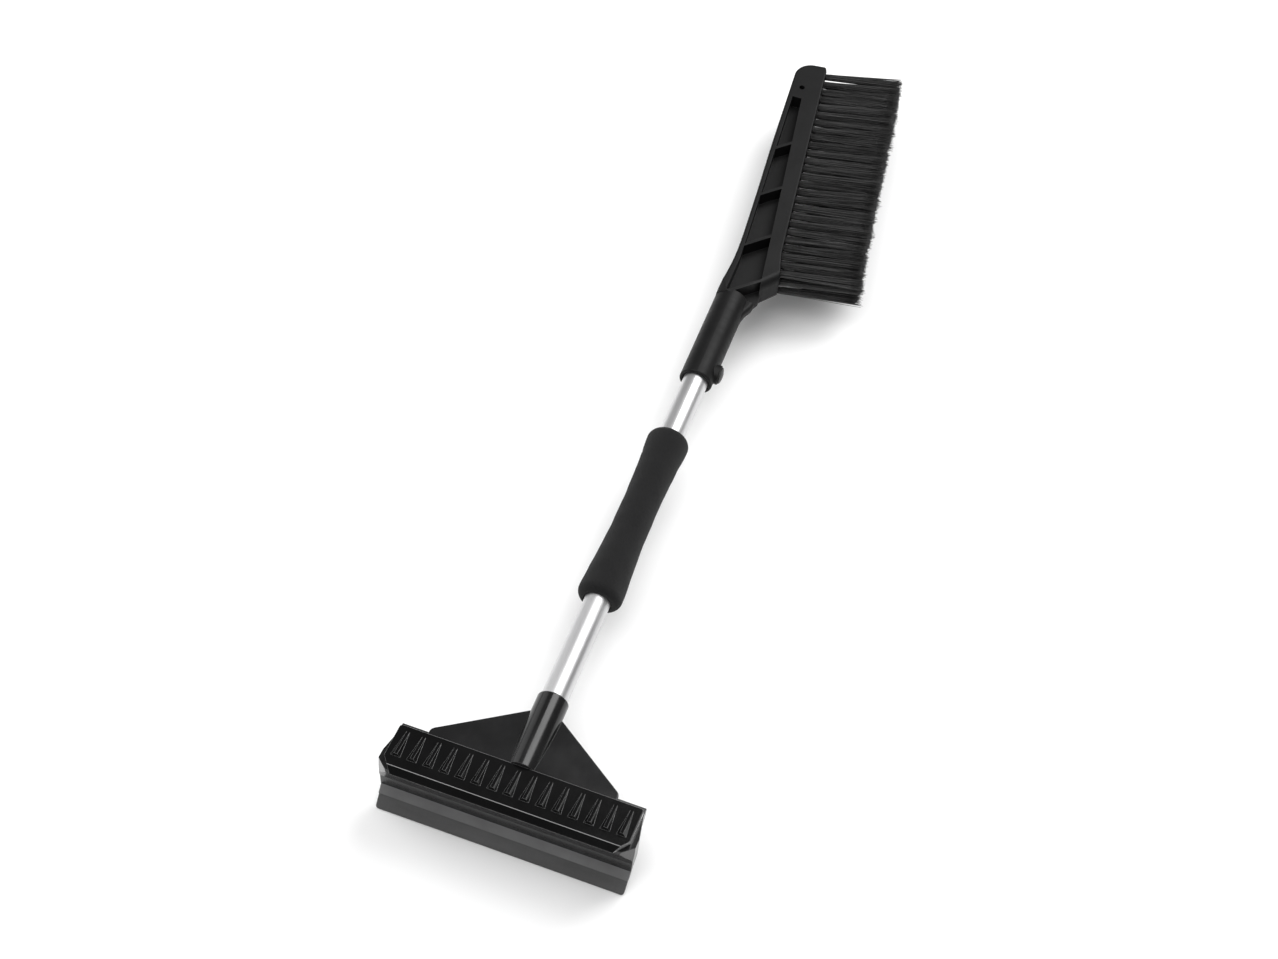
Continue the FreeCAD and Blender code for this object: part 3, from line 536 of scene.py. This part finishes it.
def build_snap_spring():
    """Bent steel strip inside the tube, built in one fixed shape; the real strip flattens towards
    the far wall as the pin goes in.
    """
    low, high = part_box("snap_spring")
    line = rounded_line(SPRING_LINE, SPRING_ROUNDS)
    slope = np.gradient(line, axis=0)
    slope /= np.linalg.norm(slope, axis=1)[:, None]
    across = np.stack([-slope[:, 1], slope[:, 0]], axis=1) * SPRING_HALF
    verts, faces = [], []
    for point, side in zip(line, across):
        near, far = point + side, point - side
        for corner, z in ((near, low.z), (far, low.z), (far, high.z), (near, high.z)):
            verts.append((low.x + corner[0] * MM, high.y + corner[1] * MM, z))
    for i in range(len(line) - 1):
        for j in range(4):
            k = (j + 1) % 4
            faces.append((4 * i + j, 4 * i + k, 4 * i + 4 + k, 4 * i + 4 + j))
    last = 4 * (len(line) - 1)
    faces += [(3, 2, 1, 0), (last, last + 1, last + 2, last + 3)]
    made = mesh_object("snap_spring_strip", verts, faces, smooth=False)
    made.data.materials.append(steel_material("spring_steel", (0.42, 0.42, 0.44), 0.35))
    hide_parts("snap_spring")
    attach(made, "handle")
    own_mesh(made)


# ---------------------------------------------------------------- CAD nodes get their finishes

def dress(node, material):
    """Give a CAD node its finish."""
    target = nodes[node]
    target.data.materials.clear()
    target.data.materials.append(material)


def dress_cad():
    moulded = moulded_plastic(
        "brush_plastic", (0.004, 0.004, 0.0041), 0.48, Specular_IOR_Level=0.17)
    # scraper plastic: its sharp edges get a faint painted highlight
    gloss = gloss_plastic(
        "scraper_plastic", (0.0075, 0.0075, 0.0077), 0.17, Specular_IOR_Level=0.42)
    dress("brush_body", moulded)
    dress("release_button", moulded_plastic(
        "button_plastic", (0.006, 0.006, 0.006), 0.4, edge=0.0006, Specular_IOR_Level=0.28))
    dress("handle_tube", drawn_aluminium())
    dress("scraper_head", gloss)
    # the blade's pale edges, brow and crest are painted highlights
    dress("ice_blade", gloss_plastic(
        "blade_plastic", (0.0025, 0.0025, 0.0026), 0.13, edge=0.0006, painted_edge_highlight=0.2,
        blade=True, Specular_IOR_Level=0.34))
    dress("squeegee_strip", moulded_plastic(
        "strip_plastic", (0.105, 0.105, 0.106), 0.5, edge=0.0003, Specular_IOR_Level=0.3))
    dress("squeegee_lip", rubber_material())
    plug = moulded_plastic("plug_plastic", (0.02, 0.02, 0.02), 0.5)
    dress("tube_end_plug", plug)
    dress("tube_foot_plug", plug)
    for node, name, color, roughness in (
            ("tuft_staples", "staple_wire", (0.6, 0.6, 0.6), 0.35),
            ("snap_pin", "pin_steel", (0.62, 0.62, 0.62), 0.3),
            ("blade_screws", "screw_steel", (0.6, 0.6, 0.58), 0.32),
            ("socket_rivet", "rivet_aluminium", (0.75, 0.75, 0.75), 0.3)):
        dress(node, steel_material(name, color, roughness))


# ---------------------------------------------------------------- room, lights and camera

FLOOR_HALF = 12.0
FLOOR_GAP = 0.0005
SENSOR = 36.0


def build_floor():
    """Plain pale floor, half a millimetre under the tool."""
    made = Shader("studio_floor", (0.9, 0.9, 0.9), 0.75, Specular_IOR_Level=0.2)
    made.set("Normal", made.bump(made.noise(40.0, 3.0), WAVE_DEPTH, 0.2))
    half = FLOOR_HALF
    corners = [(-half, -half, 0), (half, -half, 0), (half, half, 0), (-half, half, 0)]
    floor = mesh_object("studio_floor", corners, [(0, 1, 2, 3)], smooth=False)
    floor.location.z = cad_low.z - FLOOR_GAP
    floor.data.materials.append(made.material)


def area_light(name, place, target, size, power, size_y=None):
    """A square or rectangular soft box that looks at the target."""
    data = bpy.data.lights.new(name, "AREA")
    data.energy = power
    data.size = size
    if size_y:
        data.shape = "RECTANGLE"
        data.size_y = size_y
    lamp = bpy.data.objects.new(name, data)
    bpy.context.scene.collection.objects.link(lamp)
    lamp.location = place
    lamp.rotation_mode = "QUATERNION"
    lamp.rotation_quaternion = (Vector(target) - Vector(place)).to_track_quat("-Z", "Y")


def build_lights():
    world = bpy.data.worlds.new("studio")
    world.use_nodes = True
    world.node_tree.nodes["Background"].inputs["Color"].default_value = (1, 1, 1, 1)
    world.node_tree.nodes["Background"].inputs["Strength"].default_value = 0.13
    bpy.context.scene.world = world
    area_light("key_box", (0.75, 1.5, 2.0), (0.0, 0.0, 0.0), 1.5, 62, 2.4)
    area_light("top_box", (-0.6, -0.6, 2.6), (0.0, 0.0, 0.0), 2.6, 62)
    area_light("front_fill", (0.9, -1.9, 1.3), (0.0, 0.2, 0.0), 1.4, 12)
    area_light("left_box", (-2.2, 0.6, 1.2), (0.0, 0.0, 0.0), 1.2, 9, 2.0)
    bpy.context.scene.view_settings.view_transform = "Standard"


# where the photograph was taken from: angles in degrees, distances in metres
TILT = 35.0
TURN = 10.0
ROLL = 24.18
DISTANCE = 2.175
SIDE_STEP = 0.0098
FOCAL_PIXELS = 2600.0
IMAGE_WIDTH = 1278.0


def build_camera():
    tilt, turn, roll = (math.radians(v) for v in (TILT, TURN, ROLL))
    right = Vector((math.cos(turn), 0, -math.sin(turn)))
    up = Vector((math.sin(turn) * math.sin(tilt), math.cos(tilt), math.cos(turn) * math.sin(tilt)))
    back = right.cross(up)
    data = bpy.data.cameras.new("photo_camera")
    camera = bpy.data.objects.new("photo_camera", data)
    bpy.context.scene.collection.objects.link(camera)
    across = right * math.cos(roll) + up * math.sin(roll)
    above = up * math.cos(roll) - right * math.sin(roll)
    place = Vector((AXIS_X, HANDLE_Y, AXIS_Z)) - right * SIDE_STEP + back * DISTANCE
    grid = Matrix((across, above, back)).transposed().to_4x4()
    camera.matrix_world = Matrix.Translation(place) @ grid
    data.sensor_width = SENSOR
    data.lens = SENSOR * FOCAL_PIXELS / IMAGE_WIDTH
    data.clip_start, data.clip_end = 0.05, 60.0
    bpy.context.scene.camera = camera


dress_cad()
build_foam_grip()
build_snap_spring()
filament = bristle_material()
for bristle_row in range(ROWS):
    build_bristle_row(bristle_row, filament)
build_floor()
build_lights()
build_camera()
